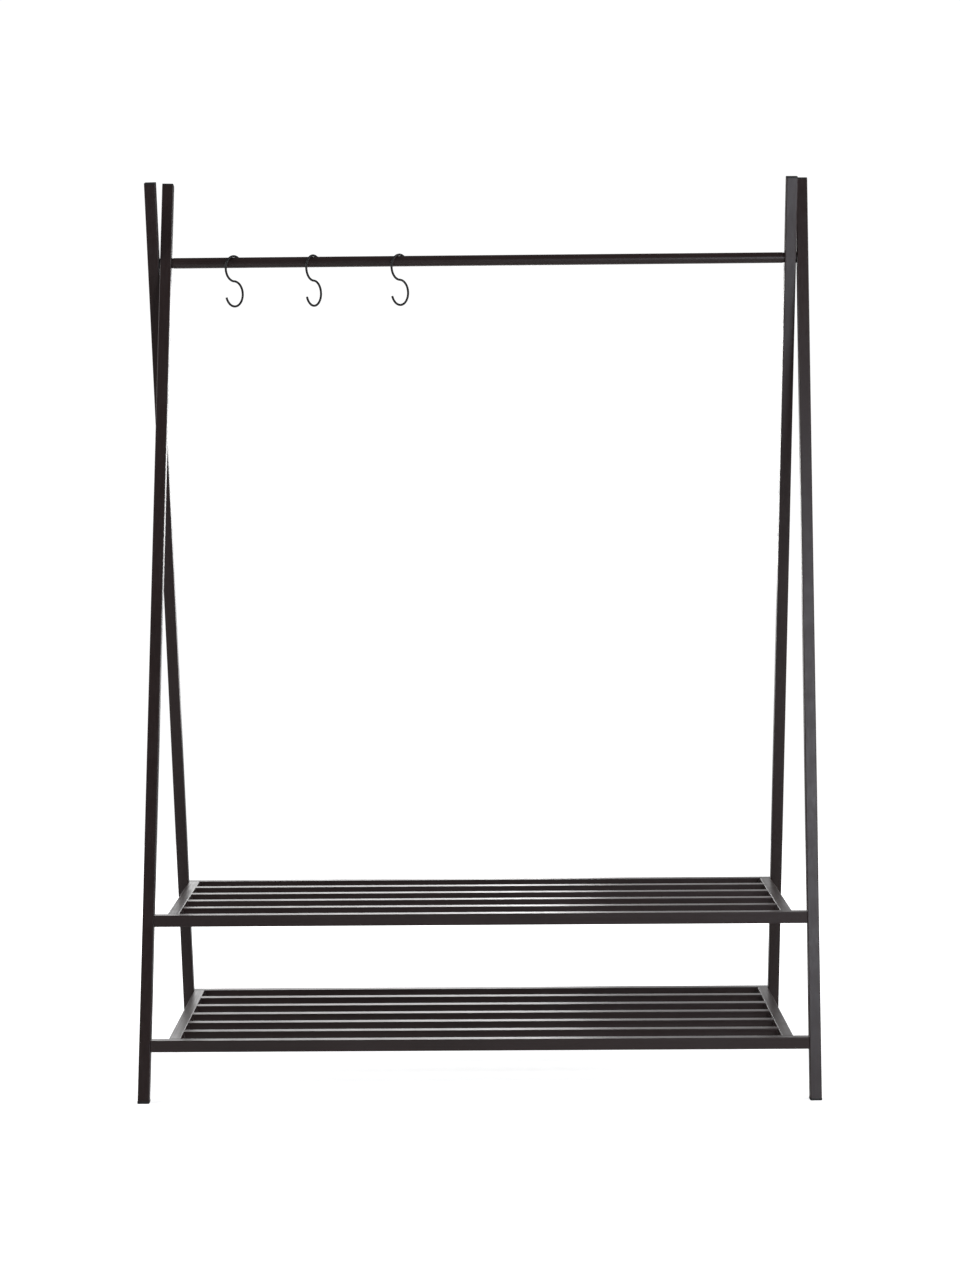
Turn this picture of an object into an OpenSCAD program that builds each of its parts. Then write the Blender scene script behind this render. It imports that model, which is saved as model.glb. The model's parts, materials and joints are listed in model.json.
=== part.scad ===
// Free-standing garment rail. Two pairs of square-tube legs cross just under
// their tops and carry a round rail between the crossings. Two slatted shelves
// are bolted between the legs, and three S-hooks hang on the rail.
// Millimetres, +Z up, origin on the floor at the middle of the footprint,
// front towards -Y.

/* [Frame] */
// Height of the leg tops above the floor
frame_h = 1600; // [1500:1:1700]
// Width between the centre lines of the two front feet
feet_w = 1158; // [1120:1:1200]
// Depth between the centre lines of the front and back feet
feet_d = 500; // [420:1:560]
// Height of the rail's axis, where the legs of a pair cross
rail_z = 1458; // [1400:1:1470]
// Distance of each back foot's centre line inside its front foot's
back_foot_inset = [33, 25.5];

/* [Tube] */
// Outer width of the square tube of legs, bars and slats
tube_w = 20; // [18:0.5:22]
// Wall thickness of all tubes
wall = 1.2; // [1:0.1:1.5]
// Corner radius of the square tube
tube_r = 1.5; // [0.5:0.1:2]

/* [Rail] */
// Outer diameter of the round rail
rail_d = 19; // [16:0.5:20]
// Position of the rail's left end face along X
rail_x0 = -538; // [-543:1:-533]
// Position of the rail's right end face along X
rail_x1 = 555; // [550:1:560]
// Gap between the two legs of a pair where they cross
crossing_gap = 2; // [2:0.1:3]

/* [Shelves] */
// Height of the upper shelf's top face
upper_z = 318; // [300:1:400]
// Height of the lower shelf's top face
lower_z = 106; // [60:1:180]
// Number of slats of the upper shelf, between its front and back bars
upper_slats = 4; // [4:1:4]
// Number of slats of the lower shelf, between its front and back bars
lower_slats = 5; // [5:1:5]

/* [Hooks] */
// Radius of each bend of the S-hook, to the middle of the wire
hook_r = 22.4; // [22:0.1:26]
// Diameter of the hook wire
wire_d = 4; // [2.5:0.1:4.5]
// Positions of the hooks along the rail
hook_x = [-426.5, -284.5, -130.5];
// Turn of each hook's plane from the rail's direction, in degrees
hook_turn = [53, 58, 51];

/* [Hidden] */
$fn = 48;
// Gap left where two faces of the frame meet at a slight angle
joint_gap = 0.3;
// M6 bolt: shank radius, and the radius of the holes that it passes
bolt_r = 3;
bolt_hole_r = 3.3;
insert_hole_r = 3.05;
// Countersunk head: radius, depth under the leg's face, clearance around it,
// and the hexagon socket
head_r = 6;
head_recess = 0.15;
head_gap = 0.2;
socket_af = 4;
socket_depth = 2.3;
// Depth of the threaded inserts and of the bolts' grip inside them
insert_l = 22;
bolt_grip = 16;
// Fixed collar between a rail end and the leg
collar_l = 3.5;
collar_r = rail_d / 2 - 0.3;
// Plastic caps: thickness outside the tube, corner radius, and their plugs
cap_t = 3;
foot_t = 4;
foot_w = tube_w + 1;
cap_r = 2;
plug_l = 14;
plug_corner_r = 1;
// Gap around anything that plugs into a tube
plug_gap = 0.1;
// Drawn past both faces of what a hole goes through
through = 1;
// Washer between the two legs of a pair
washer_r = 9;
washer_t = 1.3;
// Angle of each bend of the hook, and its clearance over the rail
hook_arc = 256;
hook_gap = 0.3;
// Rings along a hook's wire and sides around it
hook_rings = 64;
wire_sides = 12;

// Lean of the legs in side view, as a slope and as an angle
lean = feet_d / 2 / rail_z;
lean_a = atan(lean);
// Slope of each leg in front view: the two pairs meet at the rail's ends
half_w = feet_w / 2;
inner_l = rail_x0 - tube_w / 2;
outer_l = inner_l - tube_w - crossing_gap;
inner_r = rail_x1 + tube_w / 2;
outer_r = inner_r + tube_w + crossing_gap;

// A leg is [foot x, x at the crossing, side, way]: side is -1 for a front foot,
// and way is the direction along X that its bolts point in
leg_fl = [-half_w, inner_l, -1, 1];
leg_bl = [-half_w + back_foot_inset[0], outer_l, 1, 1];
leg_fr = [half_w, outer_r, -1, -1];
leg_br = [half_w - back_foot_inset[1], inner_r, 1, -1];

// Centre line of a leg at height z
function leg_slope(leg) = (leg[1] - leg[0]) / rail_z;
function leg_x(leg, z) = leg[0] + leg_slope(leg) * z;
function leg_y(leg, z) = leg[2] * (feet_d / 2 - lean * z);

// A shelf is [height of its bars' axis, number of slats]
upper = [upper_z - tube_w / 2, upper_slats];
lower = [lower_z - tube_w / 2, lower_slats];

// Front bar: between the inner faces of the front legs
function front_x0(shelf) = leg_x(leg_fl, shelf[0]) + tube_w / 2 + joint_gap;
function front_x1(shelf) = leg_x(leg_fr, shelf[0]) - tube_w / 2 - joint_gap;
// Back bar: between the inner faces of the back legs
function back_x0(shelf) = leg_x(leg_bl, shelf[0]) + tube_w / 2 + joint_gap;
function back_x1(shelf) = leg_x(leg_br, shelf[0]) - tube_w / 2 - joint_gap;
function bar_y(shelf) = -leg_y(leg_fl, shelf[0]);
function slat_pitch(shelf) = 2 * bar_y(shelf) / (shelf[1] + 1);
function slat_y(shelf, i) = -bar_y(shelf) + i * slat_pitch(shelf);

// ---- Shapes that repeat

// Square with true round corners
module rounded_square(w, r) {
    square([w, w - 2 * r], center = true);
    square([w - 2 * r, w], center = true);
    for (x = [-1, 1], y = [-1, 1])
        translate([x * (w / 2 - r), y * (w / 2 - r)]) circle(r);
}

module tube_section() {
    difference() {
        rounded_square(tube_w, tube_r);
        square(tube_w - 2 * wall, center = true);
    }
}

// A straight tube along X from x0 to x1
module tube_x(x0, x1, y, z) {
    translate([x0, y, z])
        rotate([90, 0, 90])
            linear_extrude(x1 - x0)
                tube_section();
}

// A cylinder along X that starts at x0
module rod_x(x0, length, r, y, z) {
    translate([x0, y, z])
        rotate([0, 90, 0])
            cylinder(h = length, r = r);
}

// Everything inside is drawn along +Z and laid on the leg's centre line
module on_leg(leg) {
    translate([leg[0], leg[2] * feet_d / 2, 0])
        rotate([leg[2] * lean_a, 0, 0])
            rotate([0, atan(leg_slope(leg) * cos(lean_a)), 0])
                children();
}

function leg_length(leg) =
    frame_h * sqrt(1 + lean * lean + leg_slope(leg) * leg_slope(leg));

// The part of the shape between heights z0 and z1
module between(z0, z1) {
    intersection() {
        children();
        translate([-frame_h, -frame_h, z0]) cube([2 * frame_h, 2 * frame_h, z1 - z0]);
    }
}

// Top of the head of the bolt that passes a leg at height z
function head_x(leg, z) = leg_x(leg, z) - leg[3] * (tube_w / 2 - head_recess);

// Clearance hole through a leg, with a countersink for the bolt's head
module countersunk_hole(leg, z) {
    reach = tube_w + through;
    translate([head_x(leg, z), leg_y(leg, z), z])
        rotate([0, leg[3] * 90, 0]) {
            cylinder(h = reach, r = bolt_hole_r);
            cylinder(h = head_r - bolt_r, r1 = head_r + head_gap, r2 = bolt_r + head_gap);
            translate([0, 0, -through]) cylinder(h = through, r = head_r + head_gap);
        }
}

// rail_sunk says that the crossing bolt's head lies in this leg
module leg_tube(leg, rail_sunk) {
    color([0.13, 0.12, 0.12])
        difference() {
            between(foot_t, 2 * frame_h)
                on_leg(leg)
                    translate([0, 0, -tube_w])
                        linear_extrude(leg_length(leg) - cap_t + tube_w)
                            tube_section();
            for (z = [upper[0], lower[0]]) countersunk_hole(leg, z);
            if (rail_sunk) countersunk_hole(leg, rail_z);
            else rod_x(leg[1] - tube_w, 2 * tube_w, bolt_hole_r, 0, rail_z);
        }
}

module cap_plug(z0, length) {
    translate([0, 0, z0])
        linear_extrude(length)
            rounded_square(tube_w - 2 * wall - 2 * plug_gap, plug_corner_r);
}

module top_cap(leg) {
    top = leg_length(leg);
    color([0.07, 0.07, 0.07])
        on_leg(leg) {
            translate([0, 0, top - cap_t])
                linear_extrude(cap_t)
                    rounded_square(tube_w, cap_r);
            cap_plug(top - cap_t - plug_l, plug_l);
        }
}

module foot_cap(leg) {
    color([0.07, 0.07, 0.07]) {
        between(0, foot_t)
            on_leg(leg)
                translate([0, 0, -tube_w])
                    linear_extrude(3 * tube_w)
                        rounded_square(foot_w, cap_r);
        between(foot_t, frame_h)
            on_leg(leg)
                cap_plug(-tube_w, tube_w + plug_l);
    }
}

// Countersunk bolt along X, pointing in direction way. x is the top of its head
module bolt_x(x, way, length, y, z) {
    color([0.1, 0.1, 0.1])
        translate([x, y, z])
            rotate([0, way * 90, 0])
                difference() {
                    union() {
                        cylinder(h = head_r - bolt_r, r1 = head_r, r2 = bolt_r);
                        cylinder(h = length, r = bolt_r);
                    }
                    translate([0, 0, -through])
                        cylinder(h = socket_depth + through, r = socket_af / sqrt(3), $fn = 6);
                }
}

// ---- Rail

module rail_tube() {
    x0 = rail_x0 + collar_l;
    x1 = rail_x1 - collar_l;
    color([0.15, 0.14, 0.14])
        difference() {
            rod_x(x0, x1 - x0, rail_d / 2, 0, rail_z);
            rod_x(x0 - through, x1 - x0 + 2 * through, rail_d / 2 - wall, 0, rail_z);
        }
}

// Threaded plug of a rail end, with the collar that meets the leg
module rail_end(x, dir) {
    length = collar_l + insert_l;
    color([0.15, 0.14, 0.14])
        translate([x, 0, rail_z])
            rotate([0, dir * 90, 0])
                difference() {
                    translate([0, 0, joint_gap]) {
                        cylinder(h = collar_l - joint_gap, r = collar_r);
                        cylinder(h = length - joint_gap, r = rail_d / 2 - wall - plug_gap);
                    }
                    translate([0, 0, -through]) cylinder(h = length + 2 * through, r = insert_hole_r);
                }
}

module crossing_bolt(leg) {
    length = 2 * tube_w + crossing_gap + collar_l + bolt_grip;
    bolt_x(head_x(leg, rail_z), leg[3], length, 0, rail_z);
}

module crossing_washer(x) {
    color([0.1, 0.1, 0.1])
        difference() {
            rod_x(x - washer_t / 2, washer_t, washer_r, 0, rail_z);
            rod_x(x - washer_t, 2 * washer_t, bolt_hole_r, 0, rail_z);
        }
}

// ---- Shelves

module front_bar(shelf) {
    color([0.15, 0.14, 0.14]) tube_x(front_x0(shelf), front_x1(shelf), -bar_y(shelf), shelf[0]);
}

module back_bar(shelf) {
    color([0.15, 0.14, 0.14]) tube_x(back_x0(shelf), back_x1(shelf), bar_y(shelf), shelf[0]);
}

// Side bar between the front and back bars; x is its centre line
module side_bar(shelf, x) {
    length = 2 * bar_y(shelf) - tube_w;
    color([0.15, 0.14, 0.14])
        translate([x, length / 2, shelf[0]])
            rotate([90, 0, 0])
                linear_extrude(length)
                    tube_section();
}

module left_bar(shelf) {
    side_bar(shelf, back_x0(shelf) + tube_w / 2);
}

module right_bar(shelf) {
    side_bar(shelf, back_x1(shelf) - tube_w / 2);
}

module slat(shelf, i) {
    color([0.12, 0.11, 0.11])
        tube_x(back_x0(shelf) + tube_w, back_x1(shelf) - tube_w, slat_y(shelf, i), shelf[0]);
}

// Threaded plug in the end of a bar
module bar_insert(x, dir, y, z) {
    translate([x, y, z])
        rotate([0, dir * 90, 0])
            difference() {
                linear_extrude(insert_l)
                    square(tube_w - 2 * wall - 2 * plug_gap, center = true);
                translate([0, 0, -through]) cylinder(h = insert_l + 2 * through, r = insert_hole_r);
            }
}

module bar_inserts(shelf) {
    color([0.5, 0.5, 0.5]) {
        bar_insert(front_x0(shelf), 1, -bar_y(shelf), shelf[0]);
        bar_insert(front_x1(shelf), -1, -bar_y(shelf), shelf[0]);
        bar_insert(back_x0(shelf), 1, bar_y(shelf), shelf[0]);
        bar_insert(back_x1(shelf), -1, bar_y(shelf), shelf[0]);
    }
}

module shelf_bolts(shelf) {
    z = shelf[0];
    for (leg = [leg_fl, leg_bl, leg_fr, leg_br])
        bolt_x(head_x(leg, z), leg[3], tube_w + bolt_grip, leg_y(leg, z), z);
}

// ---- Hooks

// Turn along the wire from the middle of the S: one bend each way, in its own plane
function hook_at(a) = a < 0 ? -hook_at(-a) : hook_r * [sin(a), cos(a) - 1];
function hook_normal(a) = [sin(abs(a)), cos(a)];
function wire_point(a, b) =
    let (p = hook_at(a), n = hook_normal(a), r = wire_d / 2)
    [p[0] + r * cos(b) * n[0], p[1] + r * cos(b) * n[1], r * sin(b)];

module hook_wire() {
    turns = [for (i = [0:hook_rings]) hook_arc * (2 * i / hook_rings - 1)];
    points = [for (a = turns, j = [0:wire_sides - 1]) wire_point(a, 360 * j / wire_sides)];
    skin = [for (i = [0:hook_rings - 1], j = [0:wire_sides - 1])
        let (k = (j + 1) % wire_sides, low = i * wire_sides, high = low + wire_sides)
        [low + j, low + k, high + k, high + j]];
    first = [for (j = [wire_sides - 1:-1:0]) j];
    last = [for (j = [0:wire_sides - 1]) hook_rings * wire_sides + j];
    polyhedron(points, concat([first], skin, [last]), convexity = 4);
}

module s_hook(i) {
    middle_z = rail_z + rail_d / 2 + hook_gap + wire_d / 2 - 2 * hook_r;
    color([0.12, 0.12, 0.12])
        translate([hook_x[i], 0, middle_z])
            rotate([90, 0, hook_turn[i]])
                hook_wire();
}

// ---- Nodes

leg_tube(leg_fl, false);  // front_left_leg
leg_tube(leg_fr, true);  // front_right_leg
leg_tube(leg_bl, true);  // back_left_leg
leg_tube(leg_br, false);  // back_right_leg
top_cap(leg_fl);  // front_left_top_cap
top_cap(leg_fr);  // front_right_top_cap
top_cap(leg_bl);  // back_left_top_cap
top_cap(leg_br);  // back_right_top_cap
foot_cap(leg_fl);  // front_left_foot
foot_cap(leg_fr);  // front_right_foot
foot_cap(leg_bl);  // back_left_foot
foot_cap(leg_br);  // back_right_foot
rail_tube();  // hanging_rail
rail_end(rail_x0, 1);  // rail_end_left
rail_end(rail_x1, -1);  // rail_end_right
crossing_bolt(leg_bl);  // crossing_bolt_left
crossing_bolt(leg_fr);  // crossing_bolt_right
crossing_washer((inner_l + outer_l) / 2);  // crossing_washer_left
crossing_washer((inner_r + outer_r) / 2);  // crossing_washer_right
front_bar(upper);  // upper_front_bar
back_bar(upper);  // upper_back_bar
left_bar(upper);  // upper_left_bar
right_bar(upper);  // upper_right_bar
slat(upper, 1);  // upper_slat_1
slat(upper, 2);  // upper_slat_2
slat(upper, 3);  // upper_slat_3
slat(upper, 4);  // upper_slat_4
front_bar(lower);  // lower_front_bar
back_bar(lower);  // lower_back_bar
left_bar(lower);  // lower_left_bar
right_bar(lower);  // lower_right_bar
slat(lower, 1);  // lower_slat_1
slat(lower, 2);  // lower_slat_2
slat(lower, 3);  // lower_slat_3
slat(lower, 4);  // lower_slat_4
slat(lower, 5);  // lower_slat_5
bar_inserts(upper);  // upper_bar_inserts
bar_inserts(lower);  // lower_bar_inserts
shelf_bolts(upper);  // upper_shelf_bolts
shelf_bolts(lower);  // lower_shelf_bolts
s_hook(0);  // hook_left
s_hook(1);  // hook_middle
s_hook(2);  // hook_right
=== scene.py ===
import json
import math

import bpy
import numpy as np
from mathutils import Matrix, Vector


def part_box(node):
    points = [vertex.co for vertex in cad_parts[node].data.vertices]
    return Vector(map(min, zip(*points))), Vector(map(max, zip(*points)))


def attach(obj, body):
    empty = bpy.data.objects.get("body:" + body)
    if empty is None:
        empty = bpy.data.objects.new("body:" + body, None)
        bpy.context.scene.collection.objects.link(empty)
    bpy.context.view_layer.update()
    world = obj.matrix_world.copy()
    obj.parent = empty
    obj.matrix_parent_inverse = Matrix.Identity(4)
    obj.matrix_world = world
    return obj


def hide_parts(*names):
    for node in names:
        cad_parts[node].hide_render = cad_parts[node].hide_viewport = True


# Looks of a black powder-coated garment rail. Every place and size comes from
# the frame; the numbers here are the details that the frame doesn't hold.

MM = 0.001

# Wall of all tubes, and the gap round what plugs into a leg and into the rail
WALL = 1.2 * MM
CAP_PLUG_GAP = 0.15 * MM
RAIL_PLUG_GAP = 0.1 * MM

# Caps in the tops of the legs: corner radius, rolled edge, rise of the middle,
# and the small chamfer where a cap meets its tube
CAP_R = 2 * MM
CAP_EDGE = 0.7 * MM
CAP_CROWN = 0.35 * MM
CAP_CHAMFER = 0.15 * MM
CAP_CHAMFER_H = 0.2 * MM

# Caps under the feet: corner radius, rolled edge of the sole, the bevel on top,
# and how much narrower a leaning cap is than its box
FOOT_R = 2.2 * MM
FOOT_EDGE = 1.2 * MM
FOOT_BEVEL = 0.25 * MM
FOOT_BEVEL_H = 0.3 * MM
FOOT_LEAN_W = 0.12 * MM

# Plugs that hold the caps in the legs: their lengths, their corner radius, and
# by how much and over what length their ends taper
TOP_PLUG_L = 14 * MM
FOOT_PLUG_L = 11 * MM
PLUG_R = 1 * MM
PLUG_TAPER = 0.6 * MM
PLUG_TAPER_H = 1 * MM

# Countersunk bolts: head, hexagon socket, shank, chamfers of the edges and of
# the point, and the shelf bolts' grip in the bars
HEAD_R = 6 * MM
SOCKET_R = 2.31 * MM
SOCKET_DEPTH = 2.3 * MM
SHANK_R = 3 * MM
BOLT_EDGE = 0.25 * MM
BOLT_POINT = 0.6 * MM
BOLT_GRIP = 16 * MM

# Rail ends: the chamfers, the outer one's length, and the collar's groove
END_CHAMFER = 0.5 * MM
COLLAR_EDGE = 0.4 * MM
GROOVE_DEPTH = 0.5 * MM

# Weld beads: how far a bead spreads on either face, the pitch of its ripples, how
# far it reaches into the metal, and how far its ends stay from the bars' edges.
# Then its ripple, bulge and fill, as shares of its spread
BEAD_LEG = 2.4 * MM
BEAD_PITCH = 1.7 * MM
BEAD_ROOT = 0.35 * MM
BEAD_INSET = 1.6 * MM
BEAD_RIPPLE = 0.10
BEAD_BULGE = 0.12
BEAD_FILL = 0.92

# Hooks: radius of the wire, the angle of each bend in degrees, and the share of
# the wire's radius that is left flat at its tips
WIRE_R = 2 * MM
HOOK_ARC = 256
HOOK_TIP = 0.12

# Camera: place in metres, angles in degrees, lens in millimetres
CAMERA_AT = (0.0112, -5.2518, 1.1372)
CAMERA_YAW = 0.864
CAMERA_PITCH = -2.860
CAMERA_ROLL = -0.493
CAMERA_LENS = 82.42
CAMERA_SHIFT = (0.0332, -0.0412)

# Floor: half its width, and where its front and back edges lie
FLOOR_X = 3.0
FLOOR_Y = (-3.2, 3.0)

# White that the camera sees over the floor's own light: under the object and far
# from it, and the distances from the middle where it starts and stops to grow
FLOOR_WASH = (0.72, 1.05)
FLOOR_WASH_REACH = (0.7, 1.8)

# Strength of the white world that the camera sees, and the dim grey that lights
# the object and is reflected in it
WORLD_WHITE = 1.05
WORLD_DIM = (0.175, 0.18, 0.185)

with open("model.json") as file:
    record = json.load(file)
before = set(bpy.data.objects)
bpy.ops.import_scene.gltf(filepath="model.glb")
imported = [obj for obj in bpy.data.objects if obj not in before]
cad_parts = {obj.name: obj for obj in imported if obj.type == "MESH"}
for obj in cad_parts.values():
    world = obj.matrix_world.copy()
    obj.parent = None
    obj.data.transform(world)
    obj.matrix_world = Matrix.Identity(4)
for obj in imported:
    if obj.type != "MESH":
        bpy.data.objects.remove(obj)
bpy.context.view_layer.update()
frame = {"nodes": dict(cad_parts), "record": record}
nodes = frame["nodes"]


# ---- Small helpers

def mid(node):
    low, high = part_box(node)
    return (low + high) / 2


def vertices(node):
    return np.array([v.co for v in nodes[node].data.vertices])


def new_mesh(name, points, faces, material, smooth_angle=35):
    """A mesh object from points and faces, smooth except at sharp edges."""
    mesh = bpy.data.meshes.new(name)
    mesh.from_pydata([tuple(p) for p in points], [], faces)
    mesh.validate()
    mesh.update()
    mesh.shade_smooth()
    mesh.set_sharp_from_angle(angle=math.radians(smooth_angle))
    mesh.materials.append(material)
    made = bpy.data.objects.new(name, mesh)
    bpy.context.scene.collection.objects.link(made)
    return made


class Shape:
    """Points and faces that several closed surfaces are gathered in."""

    def __init__(self):
        self.points = []
        self.faces = []

    def skin(self, rings, place=None):
        """Adds rings of equal length joined in order, with both ends closed."""
        start = len(self.points)
        count = len(rings[0])
        for ring in rings:
            for p in ring:
                p = Vector(p)
                self.points.append(place @ p if place else p)
        for i in range(len(rings) - 1):
            for j in range(count):
                k = (j + 1) % count
                low = start + i * count
                high = low + count
                self.faces.append((low + j, low + k, high + k, high + j))
        self.faces.append(tuple(start + j for j in reversed(range(count))))
        last = start + (len(rings) - 1) * count
        self.faces.append(tuple(last + j for j in range(count)))

    def piece(self, name, material, body, stands_for, smooth_angle=35):
        made = new_mesh(name, self.points, self.faces, material, smooth_angle)
        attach(made, body)
        if stands_for:
            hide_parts(*stands_for)
        return made


def circle(radius, z, sides=48):
    turns = [2 * math.pi * i / sides for i in range(sides)]
    return [(radius * math.cos(t), radius * math.sin(t), z) for t in turns]


def rounded_square(width, radius, z, steps=6):
    """A square outline with round corners, anticlockwise, at height z."""
    inner = width / 2 - radius
    ring = []
    for quarter in range(4):
        corner = math.pi / 4 + quarter * math.pi / 2
        cx = inner * math.copysign(1, math.cos(corner))
        cy = inner * math.copysign(1, math.sin(corner))
        for i in range(steps + 1):
            t = quarter * math.pi / 2 + i * math.pi / 2 / steps
            ring.append((cx + radius * math.cos(t), cy + radius * math.sin(t), z))
    return ring


def along_x(x, y, z, direction):
    """Lays a shape drawn along +Z on the X axis, starting at (x, y, z)."""
    turn = Matrix.Rotation(direction * math.pi / 2, 4, "Y")
    return Matrix.Translation((x, y, z)) @ turn


# ---- Materials

class Nodes:
    """The node tree of a new material, with its Principled shader."""

    def __init__(self, name, roughness, metallic=0.0, ior=1.5):
        self.material = bpy.data.materials.new(name)
        self.material.use_nodes = True
        self.tree = self.material.node_tree
        self.shader = self.tree.nodes["Principled BSDF"]
        self.shader.inputs["Roughness"].default_value = roughness
        self.shader.inputs["Metallic"].default_value = metallic
        self.shader.inputs["IOR"].default_value = ior
        self.place = self.tree.nodes.new("ShaderNodeTexCoord").outputs["Object"]
        self.height = None

    def link(self, a, b):
        self.tree.links.new(a, b)

    def noise(self, scale, detail=2.0, stretch=None):
        """Noise over the object's own place, in features a metre."""
        place = self.place
        if stretch:
            mapping = self.tree.nodes.new("ShaderNodeMapping")
            mapping.inputs["Scale"].default_value = stretch
            self.link(place, mapping.inputs["Vector"])
            place = mapping.outputs["Vector"]
        noise = self.tree.nodes.new("ShaderNodeTexNoise")
        noise.inputs["Scale"].default_value = scale
        noise.inputs["Detail"].default_value = detail
        self.link(place, noise.inputs["Vector"])
        return noise.outputs["Fac"]

    def ramp(self, value, stops):
        """A colour ramp from (position, colour) stops."""
        ramp = self.tree.nodes.new("ShaderNodeValToRGB")
        elements = ramp.color_ramp.elements
        while len(elements) < len(stops):
            elements.new(0.5)
        for element, (position, colour) in zip(elements, stops):
            element.position = position
            element.color = (*colour, 1)
        self.link(value, ramp.inputs["Fac"])
        return ramp.outputs["Color"]

    def between(self, value, low, high, start=0.3, end=0.7):
        """The value's range start..end taken to low..high."""
        node = self.tree.nodes.new("ShaderNodeMapRange")
        node.inputs["From Min"].default_value = start
        node.inputs["From Max"].default_value = end
        node.inputs["To Min"].default_value = low
        node.inputs["To Max"].default_value = high
        self.link(value, node.inputs["Value"])
        return node.outputs["Result"]

    def combine(self, a, b, operation="ADD"):
        """The sum of two values, or their product."""
        node = self.tree.nodes.new("ShaderNodeMath")
        node.operation = operation
        self.link(a, node.inputs[0])
        self.link(b, node.inputs[1])
        return node.outputs["Value"]

    def bump(self, value, depth):
        """Raises the surface by up to depth metres, over any earlier bump."""
        bump = self.tree.nodes.new("ShaderNodeBump")
        bump.inputs["Distance"].default_value = depth
        self.link(value, bump.inputs["Height"])
        if self.height:
            self.link(self.height, bump.inputs["Normal"])
        self.height = bump.outputs["Normal"]
        self.link(self.height, self.shader.inputs["Normal"])

    def colour(self, output):
        self.link(output, self.shader.inputs["Base Color"])

    def roughness(self, output):
        self.link(output, self.shader.inputs["Roughness"])


def powder_coat(name, axis):
    """Satin black powder coat on a tube that runs along axis (0, 1 or 2)."""
    n = Nodes(name, roughness=0.34)
    # Die lines of the drawn tube, faint under the coat, in features a metre
    across, along = 320.0, 4.0
    stretch = [across, across, across]
    stretch[axis] = along
    lines = n.noise(1, detail=3, stretch=stretch)
    patches = n.noise(7, detail=3)
    tone = n.combine(n.between(patches, 0, 0.6, start=0, end=1),
                     n.between(lines, 0, 0.4, start=0, end=1))
    n.colour(n.ramp(tone, [
        (0.32, (0.017, 0.008, 0.007)),
        (0.52, (0.023, 0.011, 0.010)),
        (0.70, (0.026, 0.015, 0.015))]))
    cloud = n.noise(26, detail=2)
    n.roughness(n.combine(n.between(cloud, 0.27, 0.33), n.between(lines, 0.0, 0.09)))
    # Fine grain of the powder over its slight orange peel
    n.bump(n.noise(330, detail=1), 0.010 * MM)
    n.bump(n.noise(1900, detail=2), 0.007 * MM)
    return n.material


def moulded_plastic(name):
    n = Nodes(name, roughness=0.5)
    n.colour(n.ramp(n.noise(90, detail=3), [
        (0.3, (0.0075, 0.0075, 0.0078)),
        (0.7, (0.0125, 0.0122, 0.0122))]))
    n.roughness(n.between(n.noise(420, detail=2), 0.42, 0.58))
    n.bump(n.noise(1500, detail=3), 0.030 * MM)
    return n.material


def black_oxide(name):
    n = Nodes(name, roughness=0.36, metallic=0.85)
    n.colour(n.ramp(n.noise(260, detail=4), [
        (0.3, (0.040, 0.038, 0.038)),
        (0.7, (0.085, 0.080, 0.078))]))
    n.roughness(n.between(n.noise(500, detail=3), 0.28, 0.46))
    n.bump(n.noise(2600, detail=2), 0.010 * MM)
    return n.material


def zinc_plate(name):
    n = Nodes(name, roughness=0.34, metallic=1.0)
    n.colour(n.ramp(n.noise(180, detail=5), [
        (0.3, (0.42, 0.43, 0.45)),
        (0.7, (0.62, 0.62, 0.60))]))
    n.roughness(n.between(n.noise(340, detail=3), 0.26, 0.44))
    n.bump(n.noise(1200, detail=2), 0.010 * MM)
    return n.material


def coated_wire(name):
    """Black dip coat on steel wire, a little duller than the tubes."""
    n = Nodes(name, roughness=0.46, ior=1.4)
    n.colour(n.ramp(n.noise(110, detail=3), [
        (0.3, (0.008, 0.008, 0.008)),
        (0.7, (0.014, 0.013, 0.014))]))
    n.roughness(n.between(n.noise(240, detail=2), 0.40, 0.52))
    n.bump(n.noise(700, detail=2), 0.015 * MM)
    return n.material


coat = [powder_coat("frame_coat_" + "xyz"[axis], axis) for axis in range(3)]
finishes = {
    "cap_plastic": moulded_plastic("cap_plastic"),
    "fastener": black_oxide("fastener"),
    "washer_nylon": moulded_plastic("washer_nylon"),
    "insert_steel": zinc_plate("insert_steel"),
    "hook_wire": coated_wire("hook_wire")}


def tube_axis(node):
    """Which way a tube runs: its box's longest side."""
    low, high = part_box(node)
    return max(range(3), key=lambda i: high[i] - low[i])


def finish_for(node, slot):
    """The slot's material. The coat's lines follow the tube, so it has three."""
    return coat[tube_axis(node)] if slot == "frame_coat" else finishes[slot]


for part in frame["record"]["subparts"]:
    cad = nodes[part["node"]]
    cad.data.materials.clear()
    cad.data.materials.append(finish_for(part["node"], part["material_slot"]))


# ---- Legs and their caps

SIDES = ["front_left", "front_right", "back_left", "back_right"]
tube_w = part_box("upper_front_bar")[1].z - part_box("upper_front_bar")[0].z
plug_w = tube_w - 2 * (WALL + CAP_PLUG_GAP)


class Leg:
    """A leg's centre line, and the directions of its two pairs of faces."""

    def __init__(self, side):
        points = vertices(side + "_leg")
        low, high = points[:, 2].min(), points[:, 2].max()
        # The centre of either end, from the points that lie close to it
        near = 5 * MM
        self.foot = Vector(points[points[:, 2] < low + near].mean(axis=0))
        self.top = Vector(points[points[:, 2] > high - near].mean(axis=0))
        self.up = (self.top - self.foot).normalized()
        self.face_y = self.up.cross(Vector((1, 0, 0))).normalized()
        self.face_x = self.face_y.cross(self.up)

    def at(self, z):
        """The centre line's point at height z."""
        return self.foot + self.up * ((z - self.foot.z) / self.up.z)

    def place(self, origin):
        """Lays a shape drawn along +Z on the leg, from origin."""
        turn = Matrix((self.face_x, self.face_y, self.up)).transposed()
        return Matrix.Translation(origin) @ turn.to_4x4()


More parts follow.
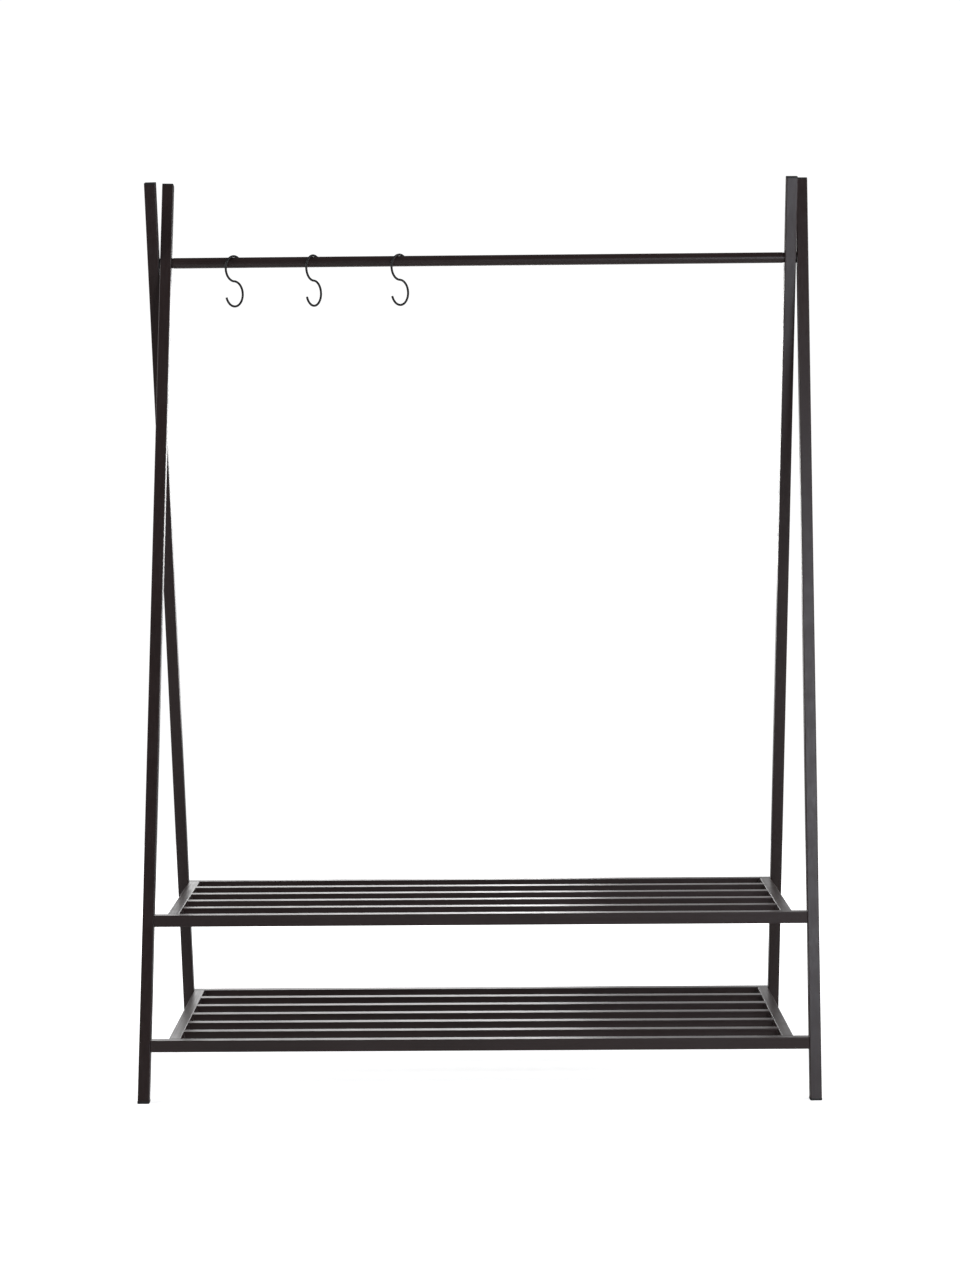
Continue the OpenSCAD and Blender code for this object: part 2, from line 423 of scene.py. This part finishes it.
legs = {side: Leg(side) for side in SIDES}


def bevelled_cap(thickness):
    """Rings of a flat cap with a rolled edge and a slightly raised middle."""
    rings = [rounded_square(tube_w - 2 * CAP_CHAMFER, CAP_R - CAP_CHAMFER, 0)]
    rings.append(rounded_square(tube_w, CAP_R, CAP_CHAMFER_H))
    rim = thickness - CAP_CROWN
    steps = 5
    for i in range(steps + 1):
        t = i / steps * math.pi / 2
        inset = CAP_EDGE * (1 - math.cos(t))
        z = rim - CAP_EDGE + CAP_EDGE * math.sin(t)
        rings.append(rounded_square(tube_w - 2 * inset, max(CAP_R - inset, CAP_R / 3), z))
    for i in range(1, steps):
        t = i / steps
        span = (tube_w - 2 * CAP_EDGE) * (1 - t)
        z = rim + CAP_CROWN * (1 - (1 - t) ** 2)
        rings.append(rounded_square(span, CAP_R * span / tube_w, z))
    return rings


def plug(shape, place, length):
    """A plug that starts at z = 0 and tapers at its far end, up or down."""
    way = math.copysign(1, length)
    rings = [rounded_square(plug_w, PLUG_R, 0),
             rounded_square(plug_w, PLUG_R, length - way * PLUG_TAPER_H),
             rounded_square(plug_w - 2 * PLUG_TAPER, PLUG_R, length)]
    shape.skin(rings if way > 0 else rings[::-1], place)


def top_cap(side):
    leg = legs[side]
    node = side + "_top_cap"
    thickness = (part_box(node)[1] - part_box(side + "_leg")[1]).z / leg.up.z
    shape = Shape()
    place = leg.place(leg.top)
    shape.skin(bevelled_cap(thickness), place)
    plug(shape, place, -TOP_PLUG_L)
    shape.piece(node + "_moulded", finishes["cap_plastic"], "frame", [node])


def foot_cap(side):
    """Foot cap: a level sole with a rolled edge, then the leg's own lean."""
    leg = legs[side]
    node = side + "_foot"
    low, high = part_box(node)
    width = high.x - low.x - FOOT_LEAN_W
    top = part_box(side + "_leg")[0].z
    steps = 6
    levels = []
    for i in range(steps + 1):
        t = i / steps * math.pi / 2
        inset = FOOT_EDGE * (1 - math.sin(t))
        levels.append((width - 2 * inset, FOOT_EDGE * (1 - math.cos(t))))
    levels.append((width, top - FOOT_BEVEL_H))
    levels.append((width - 2 * FOOT_BEVEL, top))
    rings = []
    # A level cut through a leaning leg is longer front to back
    stretch = 1 / leg.up.z
    for span, z in levels:
        centre = leg.at(z)
        ring = rounded_square(span, FOOT_R * span / width, z)
        rings.append([(centre.x + x, centre.y + y * stretch, h) for x, y, h in ring])
    shape = Shape()
    shape.skin(rings)
    plug(shape, leg.place(leg.at(top)), FOOT_PLUG_L)
    shape.piece(node + "_moulded", finishes["cap_plastic"], "frame", [node])


for side in SIDES:
    top_cap(side)
    foot_cap(side)


# ---- Bolts

def hexagon(radius, z, sides=48):
    """A hexagon outline with as many points as a circle has."""
    ring = []
    for i in range(sides):
        t = 2 * math.pi * i / sides
        within = (t + math.pi / 6) % (math.pi / 3) - math.pi / 6
        r = radius * math.cos(math.pi / 6) / math.cos(within)
        ring.append((r * math.cos(t), r * math.sin(t), z))
    return ring


def countersunk_bolt(length):
    """Rings from the socket's floor, over the flat head, down cone and shank."""
    return [hexagon(SOCKET_R, SOCKET_DEPTH),
            hexagon(SOCKET_R, BOLT_EDGE),
            circle(SOCKET_R + BOLT_EDGE, 0),
            circle(HEAD_R - 2 * BOLT_EDGE, 0),
            circle(HEAD_R - BOLT_EDGE, BOLT_EDGE),
            circle(SHANK_R, HEAD_R - SHANK_R),
            circle(SHANK_R, length - BOLT_POINT),
            circle(SHANK_R - BOLT_POINT, length)]


def bolt(name, head_x, point_x, y, z, node):
    """A bolt along X, from its head's face at head_x to its point."""
    direction = math.copysign(1, point_x - head_x)
    shape = Shape()
    shape.skin(countersunk_bolt(abs(point_x - head_x)), along_x(head_x, y, z, direction))
    shape.piece(name, finishes["fastener"], "frame", [node])


for hand in ("left", "right"):
    node = "crossing_bolt_" + hand
    low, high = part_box(node)
    ends = (low.x, high.x) if hand == "left" else (high.x, low.x)
    bolt(node + "_countersunk", *ends, mid(node).y, mid(node).z, node)

for shelf in ("upper", "lower"):
    node = shelf + "_shelf_bolts"
    low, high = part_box(node)
    z = mid(node).z
    # The outermost head fixes how far each head is from its leg's middle
    offset = legs["front_left"].at(z).x - low.x
    reach = tube_w + BOLT_GRIP
    for side in SIDES:
        centre = legs[side].at(z)
        direction = 1 if side.endswith("left") else -1
        head_x = centre.x - direction * offset
        bolt(shelf + "_bolt_" + side, head_x, head_x + direction * reach,
             centre.y, z, node)


# ---- Rail ends

def rail_end(hand):
    """Turned collar with a chamfer and a groove, and its plug in the rail."""
    node = "rail_end_" + hand
    low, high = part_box(node)
    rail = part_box("hanging_rail")
    left = hand == "left"
    start = low.x if left else high.x
    collar = abs((rail[0].x if left else rail[1].x) - start)
    radius = (high.z - low.z) / 2
    groove_r = radius - GROOVE_DEPTH
    plug_r = (rail[1].z - rail[0].z) / 2 - WALL - RAIL_PLUG_GAP
    length = high.x - low.x
    # The groove's two slopes lie between these shares of the collar's length
    profile = [(radius - END_CHAMFER, 0), (radius, COLLAR_EDGE), (radius, collar * 0.45),
               (groove_r, collar * 0.55), (groove_r, collar * 0.75),
               (radius, collar * 0.85), (radius, collar), (plug_r, collar),
               (plug_r, length - END_CHAMFER), (plug_r - END_CHAMFER, length)]
    shape = Shape()
    place = along_x(start, mid(node).y, mid(node).z, 1 if left else -1)
    shape.skin([circle(r, z, sides=72) for r, z in profile], place)
    shape.piece(node + "_turned", coat[0], "frame", [node])


rail_end("left")
rail_end("right")


# ---- Weld beads

def bead(shape, start, end, face_a, face_b):
    """A rippled fillet along start..end, lying on two faces that meet there."""
    start, end = Vector(start), Vector(end)
    line = end - start
    ripples = line.length / BEAD_PITCH
    # Four steps a ripple
    count = max(int(ripples) * 4, 12)
    sides = 6
    rings = []
    for i in range(count + 1):
        t = i / count
        # Full over most of its length, and small at both ends
        taper = math.sqrt(max(1 - abs(2 * t - 1) ** 6, 0.02))
        ripple = 1 + BEAD_RIPPLE * math.cos(2 * math.pi * t * ripples)
        size = BEAD_LEG * taper * ripple
        centre = start + line * t
        ring = [centre - (face_a + face_b) * BEAD_ROOT]
        for j in range(sides + 1):
            turn = j / sides * math.pi / 2
            spread = size * BEAD_FILL * (1 + BEAD_BULGE * math.sin(2 * turn))
            # Both edges of the bead reach into the face that they lie on
            a = spread * math.cos(turn) - (BEAD_ROOT if j == sides else 0)
            b = spread * math.sin(turn) - (BEAD_ROOT if j == 0 else 0)
            ring.append(centre + face_a * a + face_b * b)
        rings.append(ring)
    shape.skin(rings)


def shelf_welds(shelf, slats):
    """Upright beads where slats, side bars and front and back bars meet."""
    shape = Shape()
    left, right, front = (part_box(f"{shelf}_{bar}_bar") for bar in ("left", "right", "front"))
    z0, z1 = left[0].z + BEAD_INSET, left[1].z - BEAD_INSET
    leftward, rightward = Vector((-1, 0, 0)), Vector((1, 0, 0))
    forward, backward = Vector((0, -1, 0)), Vector((0, 1, 0))
    inner = [(left[1].x, rightward), (right[0].x, leftward)]
    outer = [(left[0].x, leftward), (right[1].x, rightward)]

    def upright(x, y, away, along):
        bead(shape, (x, y, z0), (x, y, z1), away, along)

    for i in range(1, slats + 1):
        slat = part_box(f"{shelf}_slat_{i}")
        for x, away in inner:
            upright(x, slat[0].y, away, forward)
            upright(x, slat[1].y, away, backward)
    for x, away in inner:
        upright(x, left[0].y, away, backward)
        upright(x, left[1].y, away, forward)
    for x, away in outer:
        upright(x, front[1].y, away, backward)
    shape.piece(shelf + "_shelf_welds", coat[2], "frame", [], smooth_angle=60)


shelf_welds("upper", 4)
shelf_welds("lower", 5)


# ---- Hooks

def hook(name):
    """S-hook of round wire: two equal bends in one upright plane, with round ends."""
    low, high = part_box(name)
    centre = (low + high) / 2
    half = (high - low) / 2
    turn = math.atan2(half.y - WIRE_R, half.x - WIRE_R)
    bend = (half.z - WIRE_R) / 2
    across = Vector((math.cos(turn), math.sin(turn), 0))
    normal = Vector((-math.sin(turn), math.cos(turn), 0))
    up = Vector((0, 0, 1))
    arc = math.radians(HOOK_ARC) - WIRE_R / bend
    steps, tip_steps, sides = 120, 5, 20

    # An angle of zero is the middle of the wire, and its sign says which bend
    def point(a):
        side = math.copysign(1, a)
        return centre + (across * math.sin(abs(a)) + up * (math.cos(a) - 1)) * bend * side

    def outward(a):
        return across * math.sin(abs(a)) + up * math.cos(a)

    rings = []

    def ring(a, along, radius):
        tangent = normal.cross(outward(a)) * -1
        middle = point(a) + tangent * along
        rings.append([middle + (outward(a) * math.cos(b) + normal * math.sin(b)) * radius
                      for b in (2 * math.pi * j / sides for j in range(sides))])

    tip = [i / tip_steps * math.pi / 2 for i in range(tip_steps)]
    for t in tip:
        ring(-arc, -WIRE_R * math.cos(t), WIRE_R * max(math.sin(t), HOOK_TIP))
    for i in range(steps + 1):
        ring(arc * (2 * i / steps - 1), 0, WIRE_R)
    for t in reversed(tip):
        ring(arc, WIRE_R * math.cos(t), WIRE_R * max(math.sin(t), HOOK_TIP))
    shape = Shape()
    shape.skin(rings)
    shape.piece(name + "_wire", finishes["hook_wire"], name, [name],
                smooth_angle=50)


for name in ("hook_left", "hook_middle", "hook_right"):
    hook(name)


# ---- Floor, lights and camera

def pale_floor():
    """Pale matt floor. The camera sees it washed out to white, as in a studio."""
    n = Nodes("floor", roughness=0.9)
    n.colour(n.ramp(n.noise(3, detail=2), [
        (0.3, (0.78, 0.78, 0.78)),
        (0.7, (0.82, 0.82, 0.82))]))
    n.shader.inputs["Specular IOR Level"].default_value = 0.0
    n.shader.inputs["Emission Color"].default_value = (1, 1, 1, 1)
    away = n.tree.nodes.new("ShaderNodeVectorMath")
    away.operation = "LENGTH"
    n.link(n.place, away.inputs[0])
    wash = n.between(away.outputs["Value"], *FLOOR_WASH, *FLOOR_WASH_REACH)
    path = n.tree.nodes.new("ShaderNodeLightPath")
    seen = n.combine(path.outputs["Is Camera Ray"], wash, "MULTIPLY")
    n.link(seen, n.shader.inputs["Emission Strength"])
    x = FLOOR_X
    front, back = FLOOR_Y
    corners = [(-x, front, 0), (x, front, 0), (x, back, 0), (-x, back, 0)]
    floor = new_mesh("floor", corners, [(0, 1, 2, 3)], n.material)


def softbox(name, place, target, width, height, power, colour=(1, 1, 1)):
    """An area light of power watts that faces target. The camera doesn't see it."""
    light = bpy.data.lights.new(name, "AREA")
    light.shape = "RECTANGLE"
    light.size = width
    light.size_y = height
    light.energy = power
    light.color = colour
    lamp = bpy.data.objects.new(name, light)
    lamp.location = place
    aim = Vector(target) - Vector(place)
    lamp.rotation_euler = aim.to_track_quat("-Z", "Y").to_euler()
    lamp.visible_camera = False
    bpy.context.scene.collection.objects.link(lamp)


def studio_world():
    """White to the camera, and dim grey to everything else."""
    world = bpy.data.worlds.new("studio")
    world.use_nodes = True
    tree = world.node_tree
    tree.nodes.clear()
    path = tree.nodes.new("ShaderNodeLightPath")
    white = tree.nodes.new("ShaderNodeBackground")
    white.inputs["Color"].default_value = (1, 1, 1, 1)
    white.inputs["Strength"].default_value = WORLD_WHITE
    dim = tree.nodes.new("ShaderNodeBackground")
    dim.inputs["Color"].default_value = (*WORLD_DIM, 1)
    dim.inputs["Strength"].default_value = 1.0
    mix = tree.nodes.new("ShaderNodeMixShader")
    out = tree.nodes.new("ShaderNodeOutputWorld")
    tree.links.new(path.outputs["Is Camera Ray"], mix.inputs["Fac"])
    tree.links.new(dim.outputs["Background"], mix.inputs[1])
    tree.links.new(white.outputs["Background"], mix.inputs[2])
    tree.links.new(mix.outputs["Shader"], out.inputs["Surface"])
    bpy.context.scene.world = world


pale_floor()
studio_world()
softbox("left_side", (-2.4, -0.4, 2.2), (0, 0, 0.2), 1.6, 1.6, 38)
softbox("right_side", (2.4, -0.4, 2.2), (0, 0, 0.2), 1.6, 1.6, 36)
softbox("right_front", (1.25, -3.0, 1.2), (0.7, 0, 1.15), 0.9, 1.5, 25, (0.88, 0.92, 1.0))
softbox("back_wall", (-0.45, 2.4, 0.9), (-0.45, 0, 0.9), 0.9, 1.0, 6.5)
softbox("back_high", (-0.03, 2.4, 1.15), (-0.03, 0, 1.15), 0.6, 0.8, 12)
softbox("back_left", (-1.5, 2.4, 0.9), (-1.5, 0, 0.9), 1.2, 1.0, 3.5)
softbox("back_right", (1.1, 2.4, 0.9), (1.1, 0, 0.9), 1.4, 1.2, 3.5)


def camera():
    yaw, pitch, roll = (math.radians(a) for a in (CAMERA_YAW, CAMERA_PITCH, CAMERA_ROLL))
    forward = Vector((-math.sin(yaw) * math.cos(pitch),
                      math.cos(yaw) * math.cos(pitch), math.sin(pitch)))
    level = Vector((math.cos(yaw), math.sin(yaw), 0))
    upright = level.cross(forward)
    right = level * math.cos(roll) + upright * math.sin(roll)
    up = upright * math.cos(roll) - level * math.sin(roll)
    data = bpy.data.cameras.new("camera")
    data.lens = CAMERA_LENS
    data.shift_x, data.shift_y = CAMERA_SHIFT
    data.clip_end = 100
    seen_from = bpy.data.objects.new("camera", data)
    turn = Matrix((right, up, -forward)).transposed().to_4x4()
    seen_from.matrix_world = Matrix.Translation(CAMERA_AT) @ turn
    bpy.context.scene.collection.objects.link(seen_from)
    bpy.context.scene.camera = seen_from


camera()
bpy.context.scene.view_settings.view_transform = "Standard"
